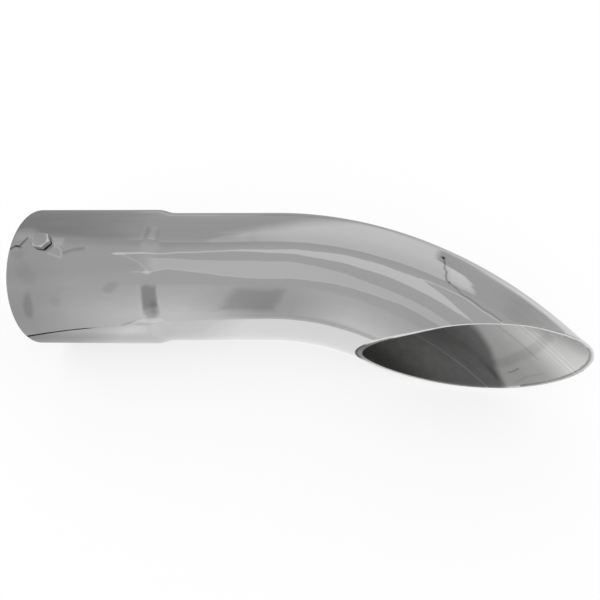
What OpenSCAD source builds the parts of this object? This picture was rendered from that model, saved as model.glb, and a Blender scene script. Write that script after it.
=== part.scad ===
// Curved exhaust tip: a slip-on socket with one clamping bolt, a bent tube and a slanted outlet.
// The tip lies on its side. X runs along the inlet axis, from the centre of the socket's mouth.
// The outlet opens towards -Y, and the bolt stands on the upper side, +Z.

/* [Tube] */
// Outside diameter of the bent tube
tube_od = 57.15; // [50:0.05:64]
// Thickness of the tube's wall
wall = 1.25; // [1:0.05:2]
// Distance from the socket's mouth to the start of the bend
straight_length = 104; // [90:0.5:140]

/* [Socket] */
// Outside diameter of the pipe that the socket slips over
pipe_od = 57.15; // [55:0.05:58]
// Gap all round between that pipe and the socket
slip_gap = 0.25; // [0.1:0.05:0.5]
// Length of the wide part of the socket
socket_length = 52; // [40:0.5:70]
// Length of the cone from the socket down to the tube
neck_length = 7.5; // [4:0.5:12]

/* [Bend] */
// Radius of the bend at the middle of the tube
bend_radius = 114.3; // [100:0.1:130]
// Angle of the bend before the outlet is cut
bend_angle = 62; // [61:0.5:70]
// How much fuller the tube's radius is in the bend than in the straight
bend_swell = 0.08; // [0.06:0.01:0.2]

/* [Outlet cut] */
// Depth of the cut below the inlet axis at the point of the outlet
cut_depth = 42.6; // [40:0.1:46]
// Distance past the start of the bend at which that depth is measured
cut_reach = 124.6; // [118:0.1:132]
// Slope of the cut against the inlet axis
cut_slope = 4.7; // [3:0.1:6]

/* [Clamping bolt] */
// Distance from the socket's mouth to the bolt
bolt_x = 13; // [10:0.5:25]
// Angle of the bolt round the socket from straight up, towards the outlet's side
bolt_lean = 8; // [-15:1:15]
// Diameter of the bolt's shank
bolt_d = 4.2; // [3:0.1:6]
// Gap all round the shank in its hole
bolt_gap = 0.05; // [0.02:0.01:0.1]
// Size of the hexagon head across its flats
head_flats = 6.35; // [5:0.05:10]
// Height of the head
head_height = 2.2; // [1.5:0.1:4]
// Width of the chamfer round the top of the head
head_chamfer = 0.3; // [0.2:0.05:0.5]
// Slope of the chamfer against the top of the head
head_slope = 22; // [15:1:35]
// Gap from the wall to the underside of the head's middle
head_stand = 0.4; // [0.35:0.05:0.6]
// How far the head's corners are turned about the bolt, from the tube's length
head_turn = -10; // [-30:1:30]

/* [Hidden] */
$fn = 96;
// How far a cutting shape runs past the face that it cuts, and the straight's wall into the bend's
past = 1;
tube_r = tube_od / 2;
tube_bore_r = tube_r - wall;
socket_bore_r = pipe_od / 2 + slip_gap;
socket_r = socket_bore_r + wall;
neck_end = socket_length + neck_length;
// How far the bend has run where the outlet's cut starts, clear of the tube's underside
cut_start = bend_radius / 10;
cut_span = cut_reach - cut_start + tube_od;
// Depth of the cut at its start, found back along the slope from the outlet's point
cut_start_depth = cut_depth - (cut_reach - cut_start) * tan(cut_slope);
head_r = head_flats / 2 / cos(30);
// The turned outline that chamfers the head runs past its corners
head_edge_r = head_r + past;
head_drop = (head_edge_r - head_flats / 2 + head_chamfer) * tan(head_slope);

// Section of the straight part's wall: distance along the axis, then radius
module straight_section() {
    polygon([
        [socket_bore_r, 0],
        [socket_r, 0],
        [socket_r, socket_length],
        [tube_r, neck_end],
        [tube_r, straight_length + past],
        [tube_bore_r, straight_length + past],
        [tube_bore_r, neck_end],
        [socket_bore_r, socket_length]
    ]);
}

// Socket, neck and straight tube, turned about X
module straight() {
    rotate([0, 90, 0])
        rotate_extrude()
            straight_section();
}

// The bent tube, from the end of the straight
module bend() {
    translate([straight_length, -bend_radius, 0])
        rotate([0, 0, 90 - bend_angle])
            rotate_extrude(angle = bend_angle)
                translate([bend_radius, 0])
                    difference() {
                        circle(r = tube_r + bend_swell);
                        circle(r = tube_bore_r + bend_swell);
                    }
}

// Everything beyond the slanted cut of the outlet
module outlet_cutter() {
    translate([straight_length + cut_start, -cut_start_depth, 0])
        rotate([0, 0, -cut_slope])
            translate([0, -cut_span, -tube_od])
                cube([cut_span, cut_span, 2 * tube_od]);
}

// Turns a shape built straight up through the socket's wall to the bolt's place
module at_bolt() {
    translate([bolt_x, 0, 0])
        rotate([bolt_lean, 0, 0])
            children();
}

// Socket, neck, straight and bend in one wall, with the outlet's cut and the bolt's hole
module tip_tube() {
    color("silver")
        difference() {
            union() {
                straight();
                bend();
            }
            outlet_cutter();
            at_bolt()
                cylinder(r = bolt_d / 2 + bolt_gap, h = socket_r + past);
        }
}

// Outline of half the chamfered head, as turned
module head_profile() {
    polygon([
        [0, 0],
        [head_edge_r, 0],
        [head_edge_r, head_height - head_drop],
        [head_flats / 2 - head_chamfer, head_height],
        [0, head_height]
    ]);
}

// Hexagon head with a turned chamfer, and a plain shank that ends level with the bore
module set_bolt() {
    color("lightgray")
        at_bolt() {
            translate([0, 0, socket_r + head_stand])
                intersection() {
                    rotate([0, 0, head_turn])
                        cylinder(r = head_r, h = head_height, $fn = 6);
                    rotate_extrude()
                        head_profile();
                }
            translate([0, 0, socket_bore_r])
                cylinder(r = bolt_d / 2, h = wall + head_stand + past);
        }
}

tip_tube();
set_bolt();
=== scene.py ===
"""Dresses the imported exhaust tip: a chromed tube with a slanted outlet, and the small bolt in its socket."""

import logging
import math
from dataclasses import dataclass, field, replace
from enum import Enum
from typing import Any, Callable, Iterable, Sequence, Union

import bmesh
import bpy
from mathutils import Matrix, Vector, noise

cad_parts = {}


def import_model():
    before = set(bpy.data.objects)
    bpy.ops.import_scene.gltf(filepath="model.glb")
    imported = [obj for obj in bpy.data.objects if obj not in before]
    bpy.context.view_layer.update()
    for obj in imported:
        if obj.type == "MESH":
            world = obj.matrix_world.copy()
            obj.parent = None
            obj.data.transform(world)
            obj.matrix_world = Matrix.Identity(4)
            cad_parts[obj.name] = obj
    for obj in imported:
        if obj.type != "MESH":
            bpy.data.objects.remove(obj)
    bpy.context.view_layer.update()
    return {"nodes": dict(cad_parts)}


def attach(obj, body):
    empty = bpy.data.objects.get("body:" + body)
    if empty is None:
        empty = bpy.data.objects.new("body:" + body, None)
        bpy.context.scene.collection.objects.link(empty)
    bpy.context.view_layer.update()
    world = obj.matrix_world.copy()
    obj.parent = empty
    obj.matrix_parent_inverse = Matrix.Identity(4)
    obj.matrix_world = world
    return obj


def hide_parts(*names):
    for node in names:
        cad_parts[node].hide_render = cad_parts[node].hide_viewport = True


LOG = logging.getLogger("exhaust_tip")
MM = 0.001


class TubeSide(Enum):
    """The tube's surfaces, in the order of its material slots."""

    CHROME = 0
    BORE = 1
    CUT_FACE = 2


# Shader sums


class Link:
    """A number that comes out of a node, with the sums that the finishes need."""

    def __init__(self, sheet: "NodeSheet", socket: bpy.types.NodeSocket) -> None:
        """Keeps the socket and the sheet that it belongs to.

        Args:
            sheet: the node sheet that new Math nodes go on.
            socket: the output that carries the number.
        """
        self.sheet = sheet
        self.socket = socket

    def math(self, operation: str, *others: "Number") -> "Link":
        """This number and others through one Math node.

        Args:
            operation: the Math node's operation.
            others: the second and third numbers, where it takes them.

        Returns:
            The node's result.
        """
        inputs = dict(enumerate((self, *others)))
        return self.sheet.link("ShaderNodeMath", {"operation": operation}, inputs)

    def turned_round(self, operation: str, first: float) -> "Link":
        """A plain number first, then this one, through one Math node.

        Args:
            operation: the Math node's operation.
            first: the plain number.

        Returns:
            The node's result.
        """
        return self.sheet.link("ShaderNodeMath", {"operation": operation}, {0: first, 1: self})

    def __add__(self, other: "Number") -> "Link":
        """Sum."""
        return self.math("ADD", other)

    def __radd__(self, other: float) -> "Link":
        """Sum, with the number first."""
        return self.math("ADD", other)

    def __sub__(self, other: "Number") -> "Link":
        """Difference."""
        return self.math("SUBTRACT", other)

    def __rsub__(self, other: float) -> "Link":
        """Difference, with the number first."""
        return self.turned_round("SUBTRACT", other)

    def __mul__(self, other: "Number") -> "Link":
        """Product."""
        return self.math("MULTIPLY", other)

    def __rmul__(self, other: float) -> "Link":
        """Product, with the number first."""
        return self.math("MULTIPLY", other)

    def __truediv__(self, other: "Number") -> "Link":
        """Quotient."""
        return self.math("DIVIDE", other)

    def __rtruediv__(self, other: float) -> "Link":
        """Quotient, with the number first."""
        return self.turned_round("DIVIDE", other)

    def __pow__(self, power: float) -> "Link":
        """Power."""
        return self.math("POWER", power)

    def __abs__(self) -> "Link":
        """Size without sign."""
        return self.math("ABSOLUTE")

    def least(self, other: "Number") -> "Link":
        """The smaller of two."""
        return self.math("MINIMUM", other)

    def most(self, other: "Number") -> "Link":
        """The larger of two."""
        return self.math("MAXIMUM", other)

    def rise(self, start: float, end: float) -> "Link":
        """A smooth step from 0 to 1.

        Args:
            start: where the result is still 0.
            end: where it has reached 1; it may be the lower of the two.

        Returns:
            The step.
        """
        low, high = min(start, end), max(start, end)
        step = self.sheet.link(
            "ShaderNodeMapRange",
            {"interpolation_type": "SMOOTHSTEP"},
            {"Value": self, "From Min": low, "From Max": high},
        )
        return step if start < end else 1.0 - step

    def between(self, low: float, high: float, soft: float) -> "Link":
        """1 between two values, with soft flanks outside them.

        Args:
            low: lower end.
            high: upper end.
            soft: width of each flank.

        Returns:
            The window.
        """
        return self.rise(low - soft, low) * self.rise(high + soft, high)

    def along_stops(self, stops: Sequence[tuple[float, float]]) -> "Link":
        """A line through given points.

        Args:
            stops: pairs of this number and the result there, rising in the first.

        Returns:
            The result, held at both ends.
        """
        first, last = stops[0][0], stops[-1][0]
        low, high = min(v for _, v in stops), max(v for _, v in stops)
        spread = (high - low) or 1.0
        place = (self - first) / (last - first)
        marks = [((p - first) / (last - first), (v - low) / spread) for p, v in stops]
        return self.sheet.link("ShaderNodeValToRGB", {"stops": marks}, {"Fac": place}) * spread + low


Number = Union[Link, float]


class NodeSheet:
    """A node tree that is being filled in."""

    def __init__(self, tree: bpy.types.NodeTree) -> None:
        """Clears the tree.

        Args:
            tree: the material's or world's own tree.
        """
        self.tree = tree
        tree.nodes.clear()

    def node(
        self,
        kind: str,
        settings: dict[str, Any] | None = None,
        inputs: dict[str | int, Any] | None = None,
    ) -> bpy.types.Node:
        """Adds one node.

        Args:
            kind: the node's type.
            settings: its own settings, set first; "stops" fills a ramp with positions and greys.
            inputs: values or links for its sockets.

        Returns:
            The node.
        """
        node = self.tree.nodes.new(kind)
        for name, value in (settings or {}).items():
            if name == "stops":
                self.fill_ramp(node.color_ramp, value)
            else:
                setattr(node, name, value)
        for name, value in (inputs or {}).items():
            if isinstance(value, Link):
                value = value.socket
            if isinstance(value, bpy.types.NodeSocket):
                self.tree.links.new(value, node.inputs[name])
            else:
                node.inputs[name].default_value = value
        return node

    def link(
        self,
        kind: str,
        settings: dict[str, Any] | None = None,
        inputs: dict[str | int, Any] | None = None,
        output: str | int = 0,
    ) -> Link:
        """Adds one node and gives one of its outputs.

        Args:
            kind: the node's type.
            settings: its own settings.
            inputs: values or links for its sockets.
            output: the output's name or place.

        Returns:
            That output as a number.
        """
        return Link(self, self.node(kind, settings, inputs).outputs[output])

    @staticmethod
    def fill_ramp(ramp: bpy.types.ColorRamp, stops: Sequence[tuple[float, float]]) -> None:
        """Puts grey stops on a ramp.

        Args:
            ramp: the ramp, with its two first stops.
            stops: positions and greys.
        """
        while len(ramp.elements) < len(stops):
            ramp.elements.new(1.0)
        for element, (position, grey) in zip(ramp.elements, stops):
            element.position = position
            element.color = (grey, grey, grey, 1.0)

    def tint(self, amount: Number, colour: Sequence[float]) -> bpy.types.NodeSocket:
        """A colour that goes from black to the given one.

        Args:
            amount: 0 to 1.
            colour: the full colour.

        Returns:
            The colour's socket.
        """
        node = self.node(
            "ShaderNodeMix",
            {"data_type": "RGBA"},
            {"Factor": amount, 6: (0.0, 0.0, 0.0, 1.0), 7: (*colour, 1.0)},
        )
        return node.outputs[2]

    def grey(self, amount: Number) -> bpy.types.NodeSocket:
        """A grey that may be brighter than white."""
        return self.node("ShaderNodeCombineColor", None, {0: amount, 1: amount, 2: amount}).outputs[0]

    def parts(self, vector: bpy.types.NodeSocket) -> tuple[Link, Link, Link]:
        """The three numbers of a vector."""
        node = self.node("ShaderNodeSeparateXYZ", None, {0: vector})
        return tuple(Link(self, node.outputs[i]) for i in range(3))

    def joined(self, x: Number, y: Number, z: Number) -> bpy.types.NodeSocket:
        """A vector from three numbers."""
        return self.node("ShaderNodeCombineXYZ", None, {0: x, 1: y, 2: z}).outputs[0]

    def noise(self, vector: bpy.types.NodeSocket, scale: float, detail: float = 2.0) -> Link:
        """Soft noise round 0, from about -0.5 to 0.5.

        Args:
            vector: where it is read.
            scale: waves in one unit of the vector.
            detail: octaves.

        Returns:
            The noise.
        """
        inputs = {"Vector": vector, "Scale": scale, "Detail": detail}
        return self.link("ShaderNodeTexNoise", None, inputs) - 0.5


# Marks on the tube


@dataclass(frozen=True)
class WallPlace:
    """A place on the tube's wall, as a finish sees it.

    Attributes:
        along: mm along the tube's centre line.
        angle: degrees round it, 0 at the top.
        seamless: a vector that runs along and round the tube, with no seam.
        object_place: the place in the object's own coordinates, in metres.
    """

    along: Link
    angle: Link
    seamless: bpy.types.NodeSocket
    object_place: bpy.types.NodeSocket


@dataclass(frozen=True)
class Blotch:
    """A soft-edged mark. Lengths are mm along the tube and degrees round it.

    Attributes:
        along: its middle along the tube.
        angle: its middle round the tube.
        half_length: half its length.
        half_turn: half its width.
        strength: what it adds to the tone.
        soft: how wide its blurred edge is, as a share of its half size.
        lean: mm that its middle line moves along the tube in one degree.
        square: whether it has corners.
    """

    along: float
    angle: float
    half_length: float
    half_turn: float
    strength: float
    soft: float = 0.35
    lean: float = 0.0
    square: bool = False

    def mask(self, place: WallPlace, warp: Link) -> Link:
        """How much of the mark lies at a place.

        Args:
            place: the place on the wall.
            warp: noise that makes the outline uneven.

        Returns:
            0 outside to the strength inside.
        """
        turn = (place.angle - self.angle) / self.half_turn
        length = (place.along - self.along - (place.angle - self.angle) * self.lean) / self.half_length
        far = abs(turn).most(abs(length)) if self.square else (turn * turn + length * length) ** 0.5
        return (far + warp).rise(1.0 + self.soft, 1.0 - self.soft) * self.strength


@dataclass(frozen=True)
class Scratch:
    """A line between places on the wall, each mm along the tube and degrees round it.

    Attributes:
        places: the line's corners.
        width: half its width, in mm.
        strength: what it adds to the tone.
        degree: mm in one degree round the tube.
        core: the share of its width that is fully there.
    """

    places: tuple[tuple[float, float], ...]
    width: float
    strength: float
    degree: float = 0.5
    core: float = 0.25

    def mask(self, place: WallPlace, warp: Link) -> Link:
        """How much of the line lies at a place.

        Args:
            place: the place on the wall.
            warp: noise that makes the line waver.

        Returns:
            0 beside the line to the strength on it.
        """
        nearest: Link | None = None
        for (s0, t0), (s1, t1) in zip(self.places, self.places[1:]):
            run, turn = s1 - s0, (t1 - t0) * self.degree
            x = place.along - s0
            y = (place.angle - t0) * self.degree
            part = ((x * run + y * turn) / (run * run + turn * turn)).most(0.0).least(1.0)
            dx, dy = x - part * run, y - part * turn
            far = (dx * dx + dy * dy) ** 0.5
            nearest = far if nearest is None else nearest.least(far)
        return (nearest + warp * self.width).rise(self.width, self.core * self.width) * self.strength


@dataclass(frozen=True)
class PaintedReflectionBand:
    """A lengthwise band of painted reflection on the wall, between two edges.

    Attributes:
        low: the lower edge, as pairs of mm along the tube and degrees round it.
        high: the upper edge, in the same way.
        start: where the band starts along the tube.
        end: where it ends.
        strength: what it adds to the tone.
        soft: half the width of the edges' blur, in degrees.
        fade: length over which its ends fade.
    """

    low: tuple[tuple[float, float], ...]
    high: tuple[tuple[float, float], ...]
    start: float
    end: float
    strength: float
    soft: float
    fade: float

    def mask(self, place: WallPlace, waver: Link) -> Link:
        """How much of the band lies at a place.

        Args:
            place: the place on the wall.
            waver: noise in degrees that bends the edges.

        Returns:
            0 outside to the strength inside.
        """
        angle = place.angle + waver
        above = (angle - place.along.along_stops(self.low)).rise(-self.soft, self.soft)
        below = (place.along.along_stops(self.high) - angle).rise(-self.soft, self.soft)
        return above * below * place.along.between(self.start, self.end, self.fade) * self.strength


# Finishes


@dataclass(frozen=True)
class MirrorChrome:
    """Thin polished chrome over bent tube: grey mirror, painted reflection bands, painted reflections,
    highlights and shade, and handling marks.

    Attributes:
        reflectance: the plain mirror's tone.
        brightest: the most that any mark brings it to.
        roughness: the plain mirror's roughness.
        waver: how far the bands' edges wander, in degrees.
        ragged: how uneven the marks' outlines are.
        peel_depth: depth of the plating's faint orange peel, in metres.
    """

    reflectance: float = 0.60
    brightest: float = 0.93
    roughness: float = 0.035
    waver: float = 2.0
    ragged: float = 0.5
    peel_depth: float = 0.00006

    def make(self, name: str) -> bpy.types.Material:
        """Builds the material.

        Args:
            name: the material's name.

        Returns:
            The material.
        """
        material, sheet, place = wall_material(name)
        warp = sheet.noise(place.object_place, 260.0, 3.0) * self.ragged
        wide = sheet.noise(place.object_place, 30.0, 3.0)
        waver = sheet.noise(place.object_place, 110.0, 3.0) * self.waver
        tone = 1.0 + wide * 0.05
        # Painted reflection: lengthwise bands of the mirrored room, added to the tone.
        for band in self.bands():
            tone = tone + band.mask(place, waver)
        # Painted reflections, highlights and shade, with real marks, added to the tone.
        for mark in self.marks():
            tone = tone + mark.mask(place, warp)
        fine = sheet.noise(place.seamless, 9.0, 5.0)
        rough = self.roughness + fine.rise(0.05, 0.3) * 0.02 + wide.rise(0.0, 0.35) * 0.03
        peel = sheet.noise(place.object_place, 75.0)
        bump = sheet.node(
            "ShaderNodeBump", None, {"Strength": 1.0, "Distance": self.peel_depth, "Height": peel}
        )
        colour = sheet.tint((tone * self.reflectance).least(self.brightest), (1.0, 1.0, 1.0))
        finish_metal(sheet, material, colour, rough, bump)
        return material

    @staticmethod
    def bands() -> list[PaintedReflectionBand]:
        """Painted reflection bands of the mirrored room on the upper side.

        Returns:
            The crown's pale painted reflection band, the short one beside it, the broad one, the painted
            highlight line along that one's lower edge, and the painted reflection glow low on the neck.
        """
        return [
            PaintedReflectionBand(
                low=(
                    (44, -17.6), (64, -16.4), (88, -13.9), (112, -15.6),
                    (124, -17.0), (160, -17.8), (190, -18.6),
                ),
                high=(
                    (44, -16.4), (64, -15.4), (88, -12.7), (112, -12.0),
                    (136, -10.4), (160, -9.9), (167, -9.0), (190, -17.6),
                ),
                start=45, end=188, strength=0.42, soft=0.5, fade=4,
            ),
            PaintedReflectionBand(
                low=((70, -5.6), (100, -5.6)),
                high=((78, -3.0), (86, 0.5), (95, 3.0)),
                start=82, end=92, strength=0.20, soft=1.2, fade=6,
            ),
            PaintedReflectionBand(
                low=(
                    (56, -31), (64, -28.5), (76, -31), (92, -34.5),
                    (100, -35.8), (112, -34.8), (150, -33.8), (182, -32.5),
                ),
                high=(
                    (56, -20), (64, -20), (76, -21.5), (112, -22.5),
                    (136, -25), (150, -26.8), (182, -27.5),
                ),
                start=60, end=184, strength=0.24, soft=0.6, fade=6,
            ),
            PaintedReflectionBand(
                low=(
                    (56, -31.6), (64, -29.1), (76, -31.6), (92, -35.1),
                    (100, -36.4), (112, -35.4), (150, -34.2), (182, -32.9),
                ),
                high=(
                    (56, -30.8), (64, -28.3), (76, -30.8), (92, -34.3),
                    (100, -35.6), (112, -34.6), (150, -33.6), (182, -32.3),
                ),
                start=52, end=182, strength=0.24, soft=0.4, fade=3,
            ),
            PaintedReflectionBand(
                low=((46, -76.6), (51.2, -75.4), (59.2, -74.4), (62.6, -72.2), (66, -71.6)),
                high=((46, -75.8), (49.6, -71.6), (51.8, -69.4), (55.7, -69.4), (61.4, -70.9), (66, -71.2)),
                start=47, end=59, strength=0.15, soft=0.4, fade=3,
            ),
        ]

    @staticmethod
    def marks() -> list[Blotch | Scratch]:
        """Painted reflections, highlights and shade, and handling marks, dents and smears where the tube has
        them.

        Returns:
            The blotches, then the lines.
        """
        return [
            # Painted reflection: a dark square mirrored on the neck's front.
            Blotch(56.6, -51.0, 2.7, 9.0, -0.30, soft=0.25, square=True),
            Blotch(58.0, -62.0, 1.9, 7.0, -0.16, soft=0.5),
            # Painted shade on the neck's top, dimming the back panel's bright reflection there, and a faint
            # darker spot beside it.
            Blotch(56.2, 1.3, 2.2, 5.2, -0.27, soft=0.5, square=True),
            Blotch(56.2, -7.0, 2.4, 2.6, -0.08, soft=0.7),
            # Painted reflection: darker on the mirrored hem line low on the socket.
            Blotch(46.4, -73.6, 1.6, 2.4, -0.18, soft=0.5, lean=1.0),
            Blotch(98.0, -53.0, 10.5, 8.5, -0.19, soft=0.30, lean=0.35, square=True),
            Blotch(100.0, -54.0, 26.0, 14.0, -0.07, soft=0.6),
            # Painted reflection: the mirrored room darker over the mouth's front.
            Blotch(6.0, -45.0, 14.0, 30.0, -0.09, soft=0.7),
            Blotch(7.5, -58.0, 1.9, 10.0, -0.20, soft=0.5, lean=0.06),
            Blotch(19.0, -54.0, 2.0, 4.0, -0.09, soft=0.6),
            Blotch(41.5, -43.0, 2.6, 4.0, -0.14, soft=0.5, lean=0.3),
            Blotch(8.0, -33.0, 3.6, 8.0, -0.07, soft=0.6, lean=-0.15),
            Blotch(4.0, -18.0, 2.4, 3.5, -0.08, soft=0.5),
            Blotch(4.5, 0.5, 4.5, 6.0, 0.36, soft=0.5),
            Blotch(18.6, -7.0, 2.8, 3.6, 0.26, square=True),
            # Painted highlights: the small white glint at the end of the crease before the neck, and a bright
            # spot where the broad band starts.
            Blotch(44.3, -17.2, 2.2, 0.9, 0.60, soft=0.5),
            Blotch(56.0, -31.5, 1.4, 1.4, 0.30, soft=0.5),
            Blotch(169.1, 21.6, 0.9, 1.9, -0.66),
            # Painted reflection: darker on the mirrored hem line at the neck.
            Blotch(52.0, -74.5, 4.0, 1.6, -0.20, soft=0.6),
            Scratch(((22.5, -16.5), (26.0, -14.2), (30.0, -13.0)), 1.1, -0.20),
            # Painted shade along a crease by the mouth, near the bolt.
            Scratch(((0.4, -13.5), (2.2, -11.0), (4.0, -11.0), (6.0, -4.0)), 0.75, -0.55),
            Scratch(((2.2, -11.0), (5.0, -12.5)), 0.6, -0.30),
            # Painted reflection: the bright outline of the bolt mirrored beside it.
            Scratch(
                ((15.2, -15.1), (17.3, -11.8), (19.8, -11.8), (21.2, -15.1), (21.7, -20.7), (16.1, -16.8)),
                0.6, 0.20,
            ),
            Scratch(
                (
                    (169.2, 21.6), (170.7, 15.0), (171.7, 9.2), (172.9, 7.3),
                    (173.4, 3.5), (174.6, -0.2), (175.8, -0.8),
                ),
                0.6, -0.42,
            ),
            Scratch(
                (
                    (175.8, -0.8), (179.2, -2.6), (182.0, -4.6), (185.3, -4.2),
                    (190.4, -5.4), (194.3, -4.6), (198.0, -4.9),
                ),
                0.60, -0.26,
            ),
            Scratch(
                (
                    (166.0, -9.0), (174.1, -7.4), (180.3, -6.4), (183.6, -5.9),
                    (187.8, -6.6), (191.4, -6.9), (195.2, -6.5), (199.0, -5.6),
                ),
                0.45, 0.30,
            ),
            # Painted highlights: thin bright lines running from that glint.
            Scratch(((46.0, -18.0), (53.0, -24.0), (56.0, -30.0)), 0.6, 0.12),
            Scratch(((44.0, -17.5), (54.0, -16.5)), 0.5, 0.15),
            Scratch(((212.0, 18.0), (215.0, 15.0)), 0.5, -0.30),
        ]


@dataclass(frozen=True)
class ScouredBore:
    """Bare steel inside the tube: dull, streaked along its length, with the weld seam's painted highlight and
    painted light, shade and reflection near the outlet.

    Attributes:
        path: the tube's centre line and cut, along which the rim's painted dark edge runs.
        seam_angle: the weld seam's place round the tube, in degrees.
        reflectance: the plain bore's tone.
        brightest: the most that any mark brings it to.
        roughness: the plain bore's roughness.
        waver: how far the edge of the painted dark reflection wanders, in degrees.
        ragged: how uneven the marks' outlines are.
        unwrap_below: angles under this one count on past 180 degrees.
        streak_depth: depth of the streaks, in metres.
        rim_radius: the bore's radius at the rim, in mm.
        rim_inset: how far inside the rim its painted dark edge runs, in mm.
    """

    path: "TubePath"
    seam_angle: float
    reflectance: float = 0.61
    brightest: float = 0.9
    roughness: float = 0.40
    waver: float = 6.0
    ragged: float = 0.6
    unwrap_below: float = -60.0
    streak_depth: float = 0.00002
    rim_radius: float = 27.5
    rim_inset: float = 0.25

    def make(self, name: str) -> bpy.types.Material:
        """Builds the material.

        Args:
            name: the material's name.

        Returns:
            The material.
        """
        material, sheet, place = wall_material(name)
        past = place.angle.math("LESS_THAN", self.unwrap_below)
        place = replace(place, angle=place.angle + past * 360.0)
        warp = sheet.noise(place.object_place, 220.0, 3.0) * self.ragged
        cloud = sheet.noise(place.object_place, 55.0, 4.0)
        streak = sheet.noise(place.seamless, 16.0, 6.0)
        fine = sheet.noise(place.seamless, 60.0, 4.0)
        # The weld seam is real; its bright line is a painted highlight on the bead.
        seam = abs(place.angle - self.seam_angle).rise(0.8, 0.2)
        tone = 1.0 + cloud * 0.16 + streak * 0.12 + fine * 0.08 + seam * 0.20
        # Painted reflection: the dark inside mirrored on the bore's lower side.
        tone = tone + self.dark_reflection_side().mask(place, cloud * self.waver)
        for mark in self.marks():
            tone = tone + mark.mask(place, warp)
        rough = self.roughness + cloud * 0.12 + streak.rise(-0.1, 0.3) * 0.06
        height = streak + fine * 0.5
        bump = sheet.node(
            "ShaderNodeBump", None, {"Strength": 0.25, "Distance": self.streak_depth, "Height": height}
        )
        colour = sheet.tint((tone * self.reflectance).least(self.brightest), (1.0, 0.995, 0.99))
        finish_metal(sheet, material, colour, rough, bump)
        return material

    @staticmethod
    def dark_reflection_side() -> PaintedReflectionBand:
        """The painted reflection of the dark inside on the lower side, which ends on a slant near the outlet.
        """
        edge = ((150, 112), (189.7, 131.1), (198.6, 139.8), (204.2, 148.4), (211.3, 156.2), (225, 163))
        return PaintedReflectionBand(edge, ((0, 330), (240, 330)), 0, 240, strength=-0.60, soft=4.5, fade=1)

    def marks(self) -> list[Blotch | Scratch]:
        """Painted light, shade and reflection, stains and drawn lines on the bore near the outlet.

        Returns:
            The painted light, the painted shade and reflection, the rim's painted dark edge, then the lines.
        """
        edge = tuple(
            (self.path.cut_at(math.radians(turn), self.rim_radius) - self.rim_inset, float(turn))
            for turn in range(56, 147, 10)
        )
        return [
            # Painted light: the bore brighter near the outlet.
            Blotch(148.0, 222.0, 42.0, 44.0, 0.48, soft=0.8),
            # Painted shade by the outlet's tip.
            Blotch(154.0, 268.0, 7.0, 24.0, -0.36, soft=0.6),
            # Painted reflection: a faint dark diagonal stripe mirrored from the dark inside.
            Blotch(202.0, 153.0, 10.0, 3.4, -0.05, soft=0.9, lean=2.2),
            Blotch(208.0, 155.6, 4.6, 2.4, -0.08, soft=0.8, lean=2.2),
            # Painted shade along the rim's inner edge.
            Scratch(edge, 0.55, -0.50),
            Scratch(
                ((203.5, 145.0), (205.3, 140.8), (208.6, 117.5), (209.3, 105.3), (209.2, 91.0)), 2.8, -0.15,
            ),
            Scratch(((196.0, 102.0), (223.0, 103.0)), 0.6, 0.16),
            Scratch(((196.0, 106.0), (221.0, 107.0)), 0.5, 0.10),
            Scratch(((198.0, 98.0), (223.0, 98.5)), 0.5, 0.12),
            Scratch(((190.0, 117.0), (203.0, 117.5), (212.0, 118.0)), 0.6, -0.16),
            Scratch(((208.6, 145.0), (209.2, 142.6), (209.9, 136.5)), 0.55, -0.32),
            Scratch(((212.8, 147.0), (213.5, 138.0), (216.5, 124.0)), 0.6, -0.10),
        ]


@dataclass(frozen=True)
class GroundFace:
    """The tube's cut faces: bright, grainy steel from the saw and the grinder, with painted shade at the
    outlet's tip and darker on its low side.

    Attributes:
        reflectance: the face's tone where it isn't darkened.
        brightest: the most that the grain brings it to.
        darkest: the least share of it that the darkening leaves.
        roughness: the face's roughness.
        grain_depth: depth of the grain, in metres.
        shaded_tip: the angle of the outlet's tip, where shade is painted on the face, in degrees.
        dark_foot: the angles between which its low side is darker.
    """

    reflectance: float = 0.72
    brightest: float = 0.95
    darkest: float = 0.06
    roughness: float = 0.38
    grain_depth: float = 0.00008
    shaded_tip: float = -92.0
    dark_foot: tuple[float, float] = (98.0, 158.0)

    def make(self, name: str) -> bpy.types.Material:
        """Builds the material.

        Args:
            name: the material's name.

        Returns:
            The material.
        """
        material, sheet, place = wall_material(name)
        grain = sheet.noise(place.object_place, 1500.0, 3.0)
        burr = sheet.noise(place.object_place, 320.0, 3.0)
        tone = 1.0 + grain * 0.7 + burr.rise(0.08, 0.25) * -0.3
        # Painted shade on the face at the outlet's tip, and darker between the low side's angles.
        darkening = abs(place.angle - self.shaded_tip).rise(20.0, 11.0) + place.angle.between(*self.dark_foot, 8.0)
        tone = (tone - darkening * 0.95).most(self.darkest)
        bump = sheet.node(
            "ShaderNodeBump", None, {"Strength": 0.6, "Distance": self.grain_depth, "Height": grain}
        )
        colour = sheet.tint((tone * self.reflectance).least(self.brightest), (1.0, 1.0, 1.0))
        finish_metal(sheet, material, colour, self.roughness + grain * 0.2, bump)
        return material


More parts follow.
